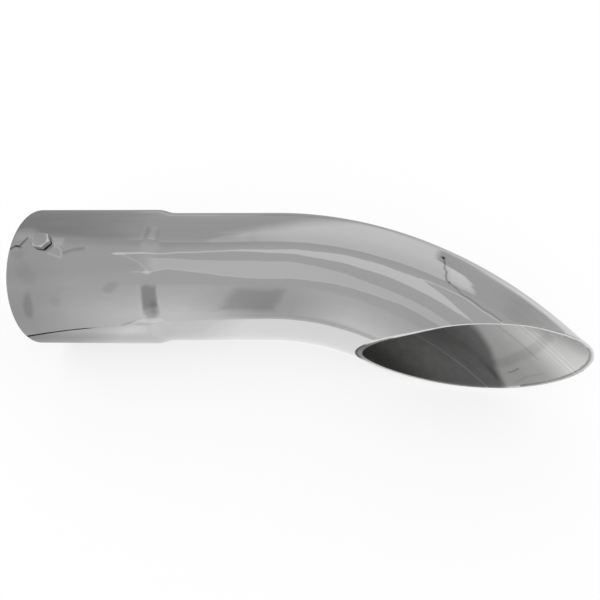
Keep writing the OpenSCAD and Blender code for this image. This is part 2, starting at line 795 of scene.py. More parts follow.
@dataclass(frozen=True)
class BoltSteel:
    """Plated steel of the bolt: satin, with painted shade round its foot.

    Attributes:
        foot: the middle of the head's underside, in metres.
        axis: the bolt's own axis.
        reflectance: the clean steel's tone.
        brightest: the most that the grain brings it to.
        roughness: the steel's roughness.
        grain_depth: depth of the grain, in metres.
        foot_shade_height: how far up from the foot the painted shade reaches, in metres.
    """

    foot: Vector
    axis: Vector
    reflectance: float = 0.60
    brightest: float = 0.95
    roughness: float = 0.30
    grain_depth: float = 0.00003
    foot_shade_height: float = 0.0004

    def make(self, name: str) -> bpy.types.Material:
        """Builds the material.

        Args:
            name: the material's name.

        Returns:
            The material.
        """
        material = bpy.data.materials.new(name)
        material.use_nodes = True
        sheet = NodeSheet(material.node_tree)
        where = sheet.node("ShaderNodeTexCoord").outputs["Object"]
        cloud = sheet.noise(where, 420.0, 3.0)
        grain = sheet.noise(where, 3200.0, 3.0)
        height = sheet.link(
            "ShaderNodeVectorMath", {"operation": "DOT_PRODUCT"}, {0: where, 1: self.axis}, "Value"
        ) - self.foot.dot(self.axis)
        # Painted shade round the head's foot, where it meets the tube.
        foot_shade = (height + cloud * 0.0003).rise(self.foot_shade_height, 0.0)
        tone = 1.0 + cloud * 0.20 + grain * 0.16 - foot_shade * 0.35
        bump = sheet.node(
            "ShaderNodeBump", None, {"Strength": 0.4, "Distance": self.grain_depth, "Height": grain}
        )
        colour = sheet.tint((tone * self.reflectance).least(self.brightest), (1.0, 1.0, 1.0))
        finish_metal(sheet, material, colour, self.roughness + cloud * 0.15, bump)
        return material


def wall_material(name: str) -> tuple[bpy.types.Material, NodeSheet, WallPlace]:
    """Starts a material that reads the tube's own map.

    Args:
        name: the material's name.

    Returns:
        The material, its sheet, and the place on the wall.
    """
    material = bpy.data.materials.new(name)
    material.use_nodes = True
    sheet = NodeSheet(material.node_tree)
    u, v, _ = sheet.parts(sheet.node("ShaderNodeUVMap", {"uv_map": TipTube.MAP_NAME}).outputs[0])
    along = u * TipTube.MAP_LENGTH
    angle = (v - 0.5) * 360.0
    turn = v * (2.0 * math.pi)
    seamless = sheet.joined(u * 1.2, turn.math("COSINE"), turn.math("SINE"))
    where = sheet.node("ShaderNodeTexCoord").outputs["Object"]
    return material, sheet, WallPlace(along, angle, seamless, where)


def finish_metal(
    sheet: NodeSheet,
    material: bpy.types.Material,
    colour: bpy.types.NodeSocket,
    rough: Link,
    bump: bpy.types.Node,
) -> None:
    """Ends a metal's sheet with its shader.

    Args:
        sheet: the material's sheet.
        material: the material.
        colour: what it mirrors, by colour.
        rough: its roughness.
        bump: the Bump node.
    """
    shader = sheet.node(
        "ShaderNodeBsdfPrincipled",
        None,
        {"Base Color": colour, "Metallic": 1.0, "Roughness": rough, "Normal": bump.outputs[0]},
    )
    sheet.node("ShaderNodeOutputMaterial", None, {"Surface": shader.outputs[0]})


# Pieces


@dataclass
class TubePath:
    """The tube's centre line, a straight and then a bend towards -Y, and the outlet's slanted cut. In mm.

    Attributes:
        straight: length of the straight.
        bend_radius: radius of the bend's centre line.
        cut_slope: slope of the cut against the straight, in degrees.
        cut_depth: how far to -Y of the straight's centre line the cut lies at its reach.
        cut_reach: the distance past the straight at which that depth is measured.
        cut_bows: where the cut leaves its plane: middle and half width in degrees, and the most in mm.
    """

    straight: float = 104.0
    bend_radius: float = 114.3
    cut_slope: float = 4.7
    cut_depth: float = 42.6
    cut_reach: float = 124.6
    cut_bows: tuple[tuple[float, float, float], ...] = ((-67.0, 31.0, 3.5), (28.0, 16.0, 0.9))

    def place(self, along: float, angle: float, radius: float) -> Vector:
        """A point of the tube.

        Args:
            along: length along the centre line.
            angle: radians round it, 0 at the top and rising towards +Y.
            radius: distance from the centre line.

        Returns:
            The point, in metres.
        """
        side, height = radius * math.sin(angle), radius * math.cos(angle)
        if along <= self.straight:
            return Vector((along, side, height)) * MM
        turn = (along - self.straight) / self.bend_radius
        far = self.bend_radius + side
        x = self.straight + far * math.sin(turn)
        return Vector((x, far * math.cos(turn) - self.bend_radius, height)) * MM

    def cut_at(self, angle: float, radius: float) -> float:
        """Length along the centre line at which the outlet's cut meets the wall.

        Args:
            angle: radians round the tube.
            radius: distance from the centre line.

        Returns:
            The length.
        """
        slope = math.radians(self.cut_slope)
        reach = self.cut_reach * math.sin(slope) + (self.bend_radius - self.cut_depth) * math.cos(slope)
        far = self.bend_radius + radius * math.sin(angle)
        return self.straight + self.bend_radius * (slope + math.acos(reach / far)) + self.bow(angle)

    def bow(self, angle: float) -> float:
        """How far along the tube the hand-sawn cut wanders from its plane.

        Args:
            angle: radians round the tube.

        Returns:
            The distance.
        """
        turn = math.degrees(angle)
        return sum(
            most * math.exp(-abs((turn - middle) / width) ** 3) for middle, width, most in self.cut_bows
        )


@dataclass
class Ring:
    """One ring of the tube's mesh.

    Attributes:
        along: its place as a function of the angle and the wall's radius there.
        depth: how deep in the wall it lies, from 0 outside to the wall's thickness.
        side: the surface between it and the ring before it.
    """

    along: Callable[[float, float], float]
    depth: float
    side: TubeSide


@dataclass
class TipTube:
    """The tube with its widened socket, neck, bend and slanted outlet. In mm.

    Attributes:
        path: the centre line and the cut.
        tube_radius: the tube's outer radius.
        socket_radius: the socket's outer radius.
        socket_length: how long the socket is before the neck.
        neck_end: where the neck has come down to the tube.
        neck_corner: the share of the neck over which each of its ends rounds off.
        wall: the wall's thickness.
        bend_swell: how much fuller the bend is in radius than the straight.
        swell_run: the length over which it becomes so.
        rounding: how far the outer edges are broken.
        deburr: how far the inner edges are broken.
        edge_profile: the broken edge's rings, as shares of its depth and of its setback.
        segments: vertices round the tube.
        ring_runs: the straight's rings, as runs of a first place, a step and a count.
        bend_start: where the bend's rings start.
        bend_rings: how many there are outside, up to the cut; the bore has half as many.
        slow_wave: the wall's broad unevenness.
        quick_wave: its short unevenness.
        neck_wave: how much more of that the neck has.
        neck_wave_reach: how far that runs from the neck's middle.
        seam_angle: the weld seam's place round the tube, in degrees.
        seam_height: how far the seam stands into the bore.
        seam_half_turn: half the seam's width, in degrees.
        bolt_x: the bolt's distance from the mouth.
        bolt_lean: how far the bolt leans from straight up, in degrees.
        hole_radius: radius of the bolt's hole.
        hole_segments: vertices round it.
        drill_length: length of the tool that cuts it.
    """

    MAP_NAME = "wall_map"
    MAP_LENGTH = 250.0

    path: TubePath = field(default_factory=TubePath)
    tube_radius: float = 28.575
    socket_radius: float = 30.075
    socket_length: float = 52.0
    neck_end: float = 60.5
    neck_corner: float = 0.40
    wall: float = 1.25
    bend_swell: float = 0.08
    swell_run: float = 10.0
    rounding: float = 0.32
    deburr: float = 0.80
    edge_profile: tuple[tuple[float, float], ...] = ((0.03, 0.55), (0.40, 0.12), (1.0, 0.01))
    segments: int = 240
    ring_runs: tuple[tuple[float, float, int], ...] = (
        (0.8, 0.8, 2), (3.0, 2.0, 24), (50.75, 0.75, 14), (62.0, 2.0, 18),
    )
    bend_start: float = 96.0
    bend_rings: int = 84
    slow_wave: float = 0.030
    quick_wave: float = 0.006
    neck_wave: float = 0.012
    neck_wave_reach: float = 9.0
    seam_angle: float = 168.4
    seam_height: float = 0.1
    seam_half_turn: float = 1.6
    bolt_x: float = 13.0
    bolt_lean: float = 8.0
    hole_radius: float = 2.15
    hole_segments: int = 48
    drill_length: float = 12.0

    def outer_radius(self, along: float) -> float:
        """The wall's outer radius.

        Args:
            along: length along the tube.

        Returns:
            The radius there.
        """
        share = (along - self.socket_length) / (self.neck_end - self.socket_length)
        share = min(max(share, 0.0), 1.0)
        corner = self.neck_corner
        if share < corner:
            ease = share * share / (2.0 * corner * (1.0 - corner))
        elif share > 1.0 - corner:
            ease = 1.0 - (1.0 - share) ** 2 / (2.0 * corner * (1.0 - corner))
        else:
            ease = (share - corner / 2.0) / (1.0 - corner)
        swell = min(max((along - self.path.straight) / self.swell_run, 0.0), 1.0) * self.bend_swell
        return self.socket_radius + (self.tube_radius - self.socket_radius) * ease + swell

    def unevenness(self, along: float, angle: float) -> float:
        """How far rolled and bent tube stands off its true radius.

        Args:
            along: length along the tube.
            angle: radians round it.

        Returns:
            The distance.
        """
        round_it = Vector((math.cos(angle), math.sin(angle), 0.0))
        slow = noise.noise(Vector((round_it.x * 1.1, round_it.y * 1.1, along / 38.0)))
        quick = noise.noise(Vector((round_it.x * 3.0 + 7.0, round_it.y * 3.0, along / 14.0)))
        neck = math.exp(-(((along - self.neck_end + 3.0) / self.neck_wave_reach) ** 2))
        return slow * self.slow_wave + quick * (self.quick_wave + self.neck_wave * neck)

    def rings(self) -> list[Ring]:
        """Lays the rings from the mouth along the outside, over the cut face and back along the bore.

        Returns:
            The rings, each to be grown from the one before it.
        """
        cut, wall, near = self.path.cut_at, self.wall, self.rounding
        straight = [first + step * i for first, step, count in self.ring_runs for i in range(count)]
        rings = [self.fixed_ring(near, 0.0, TubeSide.CHROME)]
        rings += [self.fixed_ring(s, 0.0, TubeSide.CHROME) for s in straight]
        shares = [(i + 1) / self.bend_rings for i in range(self.bend_rings)]
        rings += [self.bend_ring(share, near, 0.0, TubeSide.CHROME) for share in shares]
        profile = self.edge_profile
        outer = [(near * deep, near * back) for deep, back in profile]
        inner = [(wall - self.deburr * deep, self.deburr * back) for deep, back in reversed(profile)]
        rim = [(*outer[0], TubeSide.CHROME), (*outer[1], TubeSide.CHROME), (*outer[2], TubeSide.CUT_FACE)]
        rim += [(*inner[0], TubeSide.CUT_FACE), (*inner[1], TubeSide.BORE), (*inner[2], TubeSide.BORE)]
        rings += [Ring(lambda a, r, back=back: cut(a, r) - back, deep, side) for deep, back, side in rim]
        inside = reversed(shares[::2] + [1.0])
        rings += [self.bend_ring(share, self.deburr, wall, TubeSide.BORE) for share in inside]
        rings += [self.fixed_ring(s, wall, TubeSide.BORE) for s in reversed(straight[::2])]
        rings.append(self.fixed_ring(self.deburr, wall, TubeSide.BORE))
        rings += [self.fixed_ring(back, deep, TubeSide.CUT_FACE) for deep, back in reversed(inner)]
        rings.append(self.fixed_ring(0.0, wall * 0.5, TubeSide.CUT_FACE))
        rings += [self.fixed_ring(back, deep, TubeSide.CUT_FACE) for deep, back in reversed(outer)]
        return rings

    @staticmethod
    def fixed_ring(along: float, depth: float, side: TubeSide) -> Ring:
        """A ring square to the tube."""
        return Ring(lambda a, r: along, depth, side)

    def bend_ring(self, share: float, back: float, depth: float, side: TubeSide) -> Ring:
        """A ring a given share of the way from the bend's first ring to the cut.

        Args:
            share: 0 at the bend's first ring, 1 at the cut.
            back: how far the last ring stays behind the cut.
            depth: depth in the wall.
            side: the surface before the ring.

        Returns:
            The ring.
        """
        start = self.bend_start
        return Ring(lambda a, r: start + (self.path.cut_at(a, r) - back - start) * share, depth, side)

    def build(self) -> bpy.types.Object:
        """Makes the tube's mesh.

        Returns:
            The object, at the origin.
        """
        mesh = bmesh.new()
        turn = mesh.verts.layers.float.new("turn")
        run = mesh.verts.layers.float.new("run")
        bmesh.ops.create_circle(mesh, cap_ends=False, segments=self.segments, radius=1.0)
        for vert in mesh.verts:
            vert[turn] = math.atan2(vert.co.x, vert.co.y)
        first, edges = list(mesh.edges), list(mesh.edges)
        rings = self.rings()
        self.settle(mesh.verts, rings[0], turn, run)
        for ring in rings[1:]:
            grown = bmesh.ops.extrude_edge_only(mesh, edges=edges)["geom"]
            edges = [item for item in grown if isinstance(item, bmesh.types.BMEdge)]
            fresh = [item for item in grown if isinstance(item, bmesh.types.BMVert)]
            for face in (item for item in grown if isinstance(item, bmesh.types.BMFace)):
                face.material_index = ring.side.value
            newest = set(fresh)
            edges = [edge for edge in edges if edge.verts[0] in newest and edge.verts[1] in newest]
            self.settle(fresh, ring, turn, run)
        closing = bmesh.ops.bridge_loops(mesh, edges=first + edges)["faces"]
        for face in closing:
            face.material_index = TubeSide.CUT_FACE.value
        if mesh.calc_volume(signed=True) < 0.0:
            bmesh.ops.reverse_faces(mesh, faces=mesh.faces)
        for face in mesh.faces:
            face.smooth = True
        self.map_wall(mesh, turn, run)
        tube = finished_object(mesh, "chromed_tube")
        for material in (
            MirrorChrome().make("mirror_chrome"),
            ScouredBore(self.path, self.seam_angle).make("scoured_bore"),
            GroundFace().make("ground_face"),
        ):
            tube.data.materials.append(material)
        return tube

    def settle(
        self,
        verts: Iterable[bmesh.types.BMVert],
        ring: Ring,
        turn: bmesh.types.BMLayerItem,
        run: bmesh.types.BMLayerItem,
    ) -> None:
        """Moves a new ring's vertices to their places.

        Args:
            verts: the ring's vertices.
            ring: where it lies.
            turn: the layer that holds each vertex's angle.
            run: the layer that holds its length along the tube.
        """
        for vert in verts:
            angle = vert[turn]
            nominal = self.tube_radius + self.bend_swell - ring.depth
            along = ring.along(angle, nominal)
            radius = self.outer_radius(along) - ring.depth + self.unevenness(along, angle)
            if ring.side is TubeSide.BORE:
                off = abs(math.degrees(angle) - self.seam_angle)
                radius -= self.seam_height * max(0.0, 1.0 - off / self.seam_half_turn)
            vert[run] = along
            vert.co = self.path.place(along, angle, radius)

    def map_wall(
        self, mesh: bmesh.types.BMesh, turn: bmesh.types.BMLayerItem, run: bmesh.types.BMLayerItem
    ) -> None:
        """Lays the tube's own map: length along it, then angle round it.

        Args:
            mesh: the tube.
            turn: the layer that holds each vertex's angle.
            run: the layer that holds its length along the tube.
        """
        layer = mesh.loops.layers.uv.new(self.MAP_NAME)
        for face in mesh.faces:
            rounds = [loop.vert[turn] / (2.0 * math.pi) + 0.5 for loop in face.loops]
            split = max(rounds) - min(rounds) > 0.5
            for loop, part in zip(face.loops, rounds):
                part += 1.0 if split and part < 0.5 else 0.0
                loop[layer].uv = (loop.vert[run] / self.MAP_LENGTH, part)

    def bolt_turn(self) -> Matrix:
        """The turn that takes straight up to the bolt's own axis, at the bolt's place."""
        lean = Matrix.Rotation(math.radians(self.bolt_lean), 4, "X")
        return Matrix.Translation(Vector((self.bolt_x * MM, 0.0, 0.0))) @ lean

    def drill(self, tube: bpy.types.Object) -> None:
        """Cuts the bolt's hole through the socket's wall.

        Args:
            tube: the tube's object.
        """
        mesh = bmesh.new()
        radius = self.hole_radius * MM
        at_wall = Matrix.Translation(Vector((0.0, 0.0, self.tube_radius * MM)))
        bmesh.ops.create_cone(
            mesh, cap_ends=True, segments=self.hole_segments, radius1=radius, radius2=radius,
            depth=self.drill_length * MM, matrix=self.bolt_turn() @ at_wall,
        )
        drill = finished_object(mesh, "drill")
        cut = tube.modifiers.new("bolt_hole", "BOOLEAN")
        cut.operation, cut.solver, cut.object = "DIFFERENCE", "EXACT", drill
        graph = bpy.context.evaluated_depsgraph_get()
        result = bpy.data.meshes.new_from_object(tube.evaluated_get(graph))
        tube.modifiers.clear()
        tube.data = result
        bpy.data.objects.remove(drill)

    def dress(self, tube: bpy.types.Object) -> None:
        """Gives the tube its body and hides its CAD node.

        Args:
            tube: the tube's object.
        """
        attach(tube, "tube")
        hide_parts("tip_tube")


@dataclass
class SetBolt:
    """The small hexagon bolt in the socket's wall. In mm.

    Attributes:
        place: the turn that stands the bolt on the tube.
        bore_radius: distance of the shank's end from the tube's centre line.
        seat_radius: distance of the head's underside from it.
        shank_radius: the shank's radius.
        thread_pitch: the thread's pitch.
        thread_depth: how deep the thread is cut.
        runout_rows: rows over which the thread starts.
        bevel: how far the head's edges are broken.
        chamfer: how far its top edge is broken before that.
        row: height of one row of the shank's faces.
        merge: how near the CAD node's vertices have to be to become one.
        touch: how near the head's underside a vertex counts as on it.
        slack: how far off the shank's own size its vertices may lie.
        collar: the room round the shank in which nothing is bevelled.
        top_tilt: faces of the head's upper half with a tilt between these degrees are its bright edge, a
            painted highlight.
        edge_highlight_reflectance: the bright edge's tone, brighter than the satin steel to paint a highlight.
        fold: the fold past which an edge is sharp, in degrees.
        slight_fold: the least fold of an edge that is broken, in degrees.
    """

    place: Matrix
    bore_radius: float = 28.825
    seat_radius: float = 30.475
    shank_radius: float = 2.1
    thread_pitch: float = 0.7
    thread_depth: float = 0.3
    runout_rows: int = 3
    bevel: float = 0.08
    chamfer: float = 0.20
    row: float = 0.1
    merge: float = 0.002
    touch: float = 0.02
    slack: float = 0.05
    collar: float = 0.5
    top_tilt: tuple[float, float] = (12.0, 75.0)
    edge_highlight_reflectance: float = 0.84
    fold: float = 40.0
    slight_fold: float = 12.0

    def build(self, node: bpy.types.Object) -> bpy.types.Object:
        """Makes the bolt from a merged copy of its CAD node, with broken edges and a cut thread.

        Args:
            node: the CAD node.

        Returns:
            The object, at the origin.
        """
        mesh = bmesh.new()
        mesh.from_mesh(node.data)
        bmesh.ops.transform(mesh, matrix=self.place.inverted() @ node.matrix_world, verts=mesh.verts)
        bmesh.ops.remove_doubles(mesh, verts=mesh.verts, dist=self.merge * MM)
        bmesh.ops.dissolve_limit(
            mesh, angle_limit=math.radians(1.0), verts=mesh.verts, edges=mesh.edges, delimit=set()
        )
        seat = self.seat_radius * MM
        self.take_off_shank(mesh, seat)
        top = max(vert.co.z for vert in mesh.verts)
        middle = 0.5 * (seat + top)
        self.break_edges(mesh, self.chamfer, self.fold, middle)
        self.break_edges(mesh, self.bevel, self.slight_fold, 0.0)
        self.thread(mesh, seat)
        bmesh.ops.recalc_face_normals(mesh, faces=mesh.faces)
        steepest, flattest = (math.cos(math.radians(tilt)) for tilt in reversed(self.top_tilt))
        for face in mesh.faces:
            tilted = steepest < face.normal.z < flattest
            # The bright edge's faces take the brighter copy of the steel: a painted highlight.
            face.material_index = int(tilted and face.calc_center_median().z > middle)
            face.smooth = True
        bmesh.ops.transform(mesh, matrix=self.place, verts=mesh.verts)
        bolt = finished_object(mesh, "hexagon_bolt")
        bolt.data.set_sharp_from_angle(angle=math.radians(self.fold))
        return bolt

    def take_off_shank(self, mesh: bmesh.types.BMesh, seat: float) -> None:
        """Deletes the CAD node's plain shank and leaves the head, open underneath.

        Args:
            mesh: the whole bolt, standing upright.
            seat: height of the head's underside, in metres.
        """
        shank = [
            face for face in mesh.faces
            if all(vert.co.z < seat + self.touch * MM for vert in face.verts)
            and all(vert.co.xy.length < (self.shank_radius + self.slack) * MM for vert in face.verts)
        ]
        bmesh.ops.delete(mesh, geom=shank, context="FACES")
        low = [vert for vert in mesh.verts if vert.co.z < seat - self.slack * MM]
        bmesh.ops.delete(mesh, geom=low, context="VERTS")

    def break_edges(self, mesh: bmesh.types.BMesh, offset: float, fold: float, lowest: float) -> None:
        """Bevels the head's edges, in one facet on its upper half alone and in two over all of it.

        Args:
            mesh: the head, standing upright.
            offset: how far the edges are broken, in mm.
            fold: the least fold of an edge that is broken, in degrees.
            lowest: the height above which edges are broken, in metres, or 0 for all of them.
        """
        corners = [
            edge for edge in mesh.edges
            if edge.is_manifold and edge.calc_face_angle(0.0) > math.radians(fold)
            and min(vert.co.xy.length for vert in edge.verts) > (self.shank_radius + self.collar) * MM
            and min(vert.co.z for vert in edge.verts) > lowest
        ]
        bmesh.ops.bevel(
            mesh, geom=corners, offset=offset * MM, offset_type="OFFSET", segments=1 if lowest else 2,
            profile=0.5, affect="EDGES", material=-1, clamp_overlap=not lowest,
        )

    def thread(self, mesh: bmesh.types.BMesh, seat: float) -> None:
        """Runs the threaded shank down from the opening under the head.

        Args:
            mesh: the head, standing upright, open where the shank starts.
            seat: height of the head's underside, in metres.
        """
        edges = [edge for edge in mesh.edges if edge.is_boundary]
        rows = round((self.seat_radius - self.bore_radius) / self.row)
        for index in range(1, rows + 1):
            height = seat - (self.seat_radius - self.bore_radius) * MM * index / rows
            grown = bmesh.ops.extrude_edge_only(mesh, edges=edges)["geom"]
            fresh = {item for item in grown if isinstance(item, bmesh.types.BMVert)}
            edges = [
                item for item in grown
                if isinstance(item, bmesh.types.BMEdge) and item.verts[0] in fresh and item.verts[1] in fresh
            ]
            runout = min(1.0, index / self.runout_rows)
            for vert in fresh:
                angle = math.atan2(vert.co.y, vert.co.x)
                phase = (height / MM / self.thread_pitch + angle / (2.0 * math.pi)) % 1.0
                valley = 1.0 - abs(2.0 * phase - 1.0)
                radius = (self.shank_radius - self.thread_depth * valley * runout) * MM
                vert.co = Vector((radius * math.cos(angle), radius * math.sin(angle), height))
        bmesh.ops.holes_fill(mesh, edges=edges, sides=0)

    def dress(self, bolt: bpy.types.Object) -> None:
        """Gives the bolt its finishes and body, and hides its CAD node.

        Args:
            bolt: the bolt's object.
        """
        axis = (self.place.to_3x3() @ Vector((0.0, 0.0, 1.0))).normalized()
        foot = self.place @ Vector((0.0, 0.0, self.seat_radius * MM))
        satin = BoltSteel(foot, axis)
        bolt.data.materials.append(satin.make("bolt_steel_satin"))
        # A brighter copy of the satin steel paints the highlight on the head's edge.
        bolt.data.materials.append(replace(satin, reflectance=self.edge_highlight_reflectance).make("bolt_steel_painted_highlight"))
        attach(bolt, "bolt")
        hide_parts("set_bolt")


def finished_object(mesh: bmesh.types.BMesh, name: str) -> bpy.types.Object:
    """Turns a finished bmesh into an object at the origin.

    Args:
        mesh: the bmesh, which is freed.
        name: the object's name.

    Returns:
        The object.
    """
    data = bpy.data.meshes.new(name)
    mesh.to_mesh(data)
    mesh.free()
    item = bpy.data.objects.new(name, data)
    bpy.context.scene.collection.objects.link(item)
    return item


# Studio


@dataclass
class Panel:
    """An upright studio panel that only polished metal sees. Lengths are mm.

    Attributes:
        name: the object's name.
        distance: its place in Y.
        middle: its middle in X.
        height: its middle in Z.
        half: half its width and height.
    """

    name: str
    distance: float
    middle: float
    height: float
    half: float

    def tone(self, x: Link, z: Link, ripple: Link) -> Link:
        """How bright the panel is at a place."""
        raise NotImplementedError

    def share(self, x: Link, z: Link) -> Link:
        """How much of the panel there is at a place, from 0 to 1."""
        raise NotImplementedError

    def build(self) -> None:
        """Makes the panel."""
        mesh = bmesh.new()
        stand = Matrix.Translation(Vector((self.middle, self.distance, self.height)) * MM)
        upright = stand @ Matrix.Rotation(math.pi / 2.0, 4, "X")
        bmesh.ops.create_grid(mesh, x_segments=1, y_segments=1, size=self.half * MM, matrix=upright)
        panel = finished_object(mesh, self.name)
        material = bpy.data.materials.new(self.name)
        material.use_nodes = True
        sheet = NodeSheet(material.node_tree)
        where = sheet.node("ShaderNodeTexCoord").outputs["Object"]
        ripple = sheet.noise(where, 26.0, 3.0)
        x, _, z = sheet.parts(where)
        x, z = x / MM, z / MM
        clear = sheet.node("ShaderNodeBsdfTransparent")
        colour = sheet.grey(self.tone(x, z, ripple))
        glow = sheet.node("ShaderNodeEmission", None, {"Color": colour, "Strength": 1.0})
        mix = {0: self.share(x, z), 1: clear.outputs[0], 2: glow.outputs[0]}
        shader = sheet.node("ShaderNodeMixShader", None, mix)
        sheet.node("ShaderNodeOutputMaterial", None, {"Surface": shader.outputs[0]})
        panel.data.materials.append(material)
        panel.visible_camera = panel.visible_diffuse = panel.visible_shadow = False
        panel.visible_transmission = panel.visible_volume_scatter = False


@dataclass
class BackPanel(Panel):
    """The panel behind the tube: grey, with a bright field that slants off towards the socket.

    Attributes:
        slant_point: a point of the bright field's slanted edge, as X and Z.
        slant_way: the way square to that edge, as X and Z.
        slant_soft: half the width of that edge's blur.
        slant_top: the height above which the edge stands upright.
    """

    slant_point: tuple[float, float] = (140.0, 23.0)
    slant_way: tuple[float, float] = (0.888, 0.460)
    slant_soft: float = 28.0
    slant_top: float = 165.0

    def tone(self, x: Link, z: Link, ripple: Link) -> Link:
        """How bright the panel is at a place.

        Args:
            x: the place along X, in mm.
            z: its height, in mm.
            ripple: soft noise round 0 that keeps the edges from being straight.

        Returns:
            The brightness, where 1 is white.
        """
        grey = self.grey_field(x, z, ripple)
        bright = self.bright_field(x, z)
        over = (x - self.slant_point[0]) * self.slant_way[0]
        up = (z.least(self.slant_top) - self.slant_point[1]) * self.slant_way[1]
        slant = (over + up).rise(-self.slant_soft, self.slant_soft)
        top = (z + ripple * 14.0).rise(307.0, 300.0)
        end = z.along_stops([(95, 250), (130, 285), (170, 295), (300, 297)]) - x
        return grey + (bright - grey) * slant * top * (end + ripple * 8.0).rise(-5.0, 5.0)

    @staticmethod
    def grey_field(x: Link, z: Link, ripple: Link) -> Link:
        """The panel without its bright field.

        Args:
            x: the place along X, in mm.
            z: its height, in mm.
            ripple: soft noise round 0.

        Returns:
            The brightness.
        """
        left = (x + z.most(0.0) * 0.25).along_stops(
            [(-60, 0.32), (-25, 0.36), (-5, 0.395), (15, 0.45), (40, 0.48), (100, 0.48)]
        ) + z.rise(230.0, 330.0) * 0.06
        right = x.along_stops([(290, 0.53), (330, 0.53), (365, 0.47), (400, 0.52), (430, 0.58)])
        right = right + z.rise(2.0, -8.0) * x.rise(280.0, 320.0) * 0.22
        grey = left + (right - left) * x.rise(240.0, 290.0) + ripple * 0.07
        low = x.between(8.0, 45.0, 24.0) * 0.10 - x.between(95.0, 150.0, 20.0) * 0.08
        return grey + z.rise(2.0, -15.0) * low

    @staticmethod
    def bright_field(x: Link, z: Link) -> Link:
        """The bright field's own brightness.

        Args:
            x: the place along X, in mm.
            z: its height, in mm.

        Returns:
            The brightness.
        """
        bright = z.along_stops(
            [(-15, 0.76), (10, 0.82), (100, 0.83), (160, 0.78), (210, 0.745), (300, 0.725)]
        )
        return bright + x.rise(262.0, 270.0) * z.rise(105.0, 125.0) * z.rise(285.0, 235.0) * 0.11

    def share(self, x: Link, z: Link) -> Link:
        """How much of the panel there is at a place, from 0 to 1."""
        return x.rise(-130.0, -60.0) * x.rise(455.0, 430.0) * z.rise(345.0, 315.0)


@dataclass
class FrontPanel(Panel):
    """The panel in front of the tube: grey, brightest before the neck."""

    def tone(self, x: Link, z: Link, ripple: Link) -> Link:
        """How bright the panel is at a place.

        Args:
            x: the place along X, in mm.
            z: its height, in mm.
            ripple: soft noise round 0.

        Returns:
            The brightness, where 1 is white.
        """
        glow = x.along_stops(
            [
                (-190, 0.0), (-147, 0.09), (-120, 0.15), (-93, 0.21), (-60, 0.26),
                (-13, 0.30), (14, 0.21), (41, 0.11), (69, 0.02), (100, 0.0),
            ]
        )
        reach = z.along_stops([(-30, 1.0), (0, 1.0), (100, 0.64), (200, 0.40), (320, 0.18)])
        return glow * reach + z.along_stops([(0, 0.51), (300, 0.56)]) + ripple * 0.05

    def share(self, x: Link, z: Link) -> Link:
        """How much of the panel there is at a place, from 0 to 1."""
        return x.rise(-340.0, -260.0) * x.rise(190.0, 120.0) * z.rise(345.0, 290.0)


